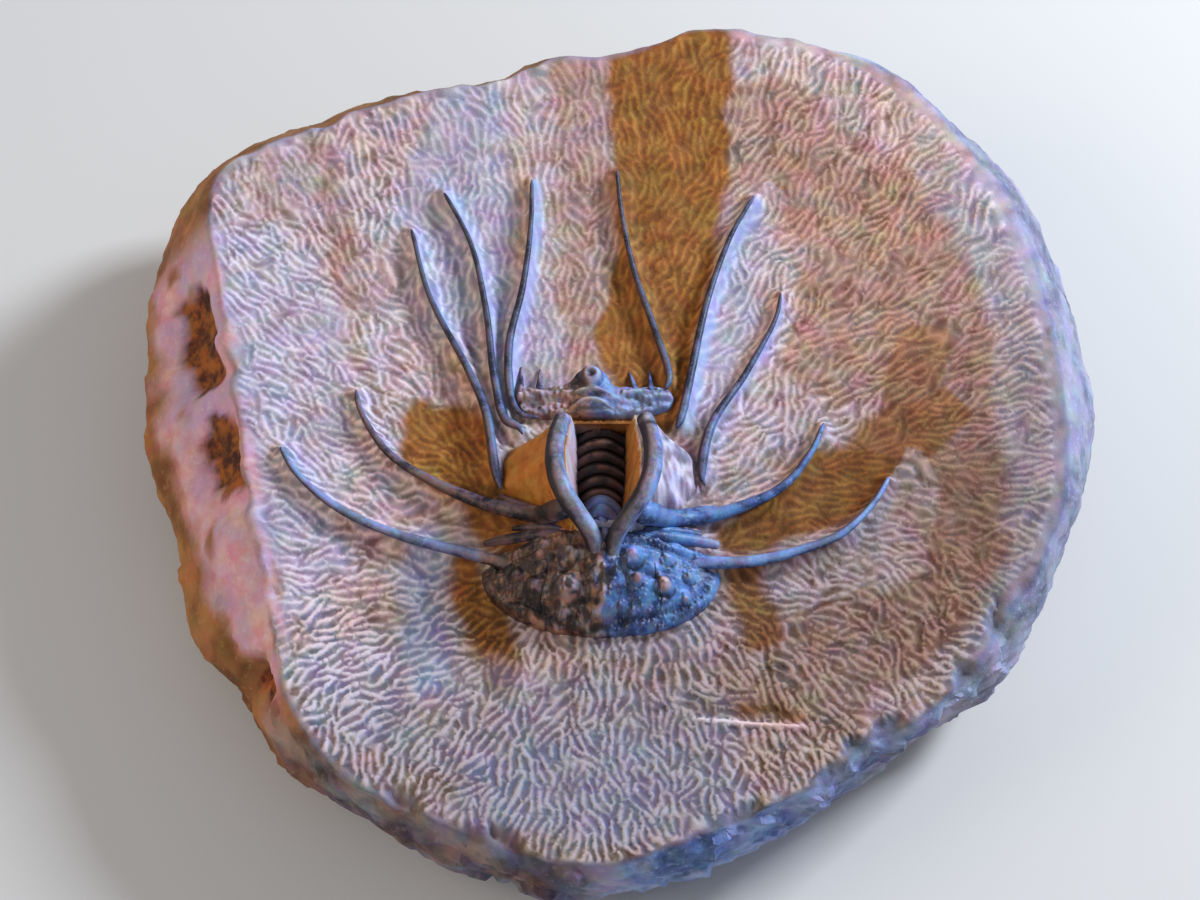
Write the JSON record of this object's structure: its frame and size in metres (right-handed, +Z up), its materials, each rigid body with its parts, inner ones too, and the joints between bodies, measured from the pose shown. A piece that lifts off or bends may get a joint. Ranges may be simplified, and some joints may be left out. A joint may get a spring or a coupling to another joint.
{
  "type": "trilobite fossil",
  "caption": "Horned, long-spined trilobite standing on a mound in a shallow tool-marked bowl worked into a rounded limestone nodule.",
  "frame": {"origin": "centre of the bounding box at its lowest level, on the flat base of the rock", "axes": "+Z up out of the worked face, -Y towards the trilobite's head, +X to the right of a viewer who has the head towards them; node names say left and right as that viewer does"},
  "size_m": [0.1288, 0.1228, 0.0369],
  "materials": {
    "limestone": "matt, tool-marked, ochre in places",
    "fossil_shell": "dark slate calcite, softly glossy"
  },
  "bodies": {
    "root": {"matrix": "limestone", "cranidium": "fossil_shell", "free_cheek_left": "fossil_shell", "free_cheek_right": "fossil_shell", "horn_left": "fossil_shell", "horn_right": "fossil_shell", "thoracic_ring_1": "fossil_shell", "thoracic_ring_2": "fossil_shell", "thoracic_ring_3": "fossil_shell", "thoracic_ring_4": "fossil_shell", "thoracic_ring_5": "fossil_shell", "thoracic_ring_6": "fossil_shell", "thoracic_ring_7": "fossil_shell", "thoracic_ring_8": "fossil_shell", "thoracic_ring_9": "fossil_shell", "pleural_spine_front_left": "fossil_shell", "pleural_spine_front_right": "fossil_shell", "pleural_spine_middle_left": "fossil_shell", "pleural_spine_middle_right": "fossil_shell", "pleural_spine_rear_left": "fossil_shell", "pleural_spine_rear_right": "fossil_shell", "pygidium": "fossil_shell", "pygidial_spine_left": "fossil_shell", "pygidial_spine_right": "fossil_shell"}
  },
  "joints": []
}
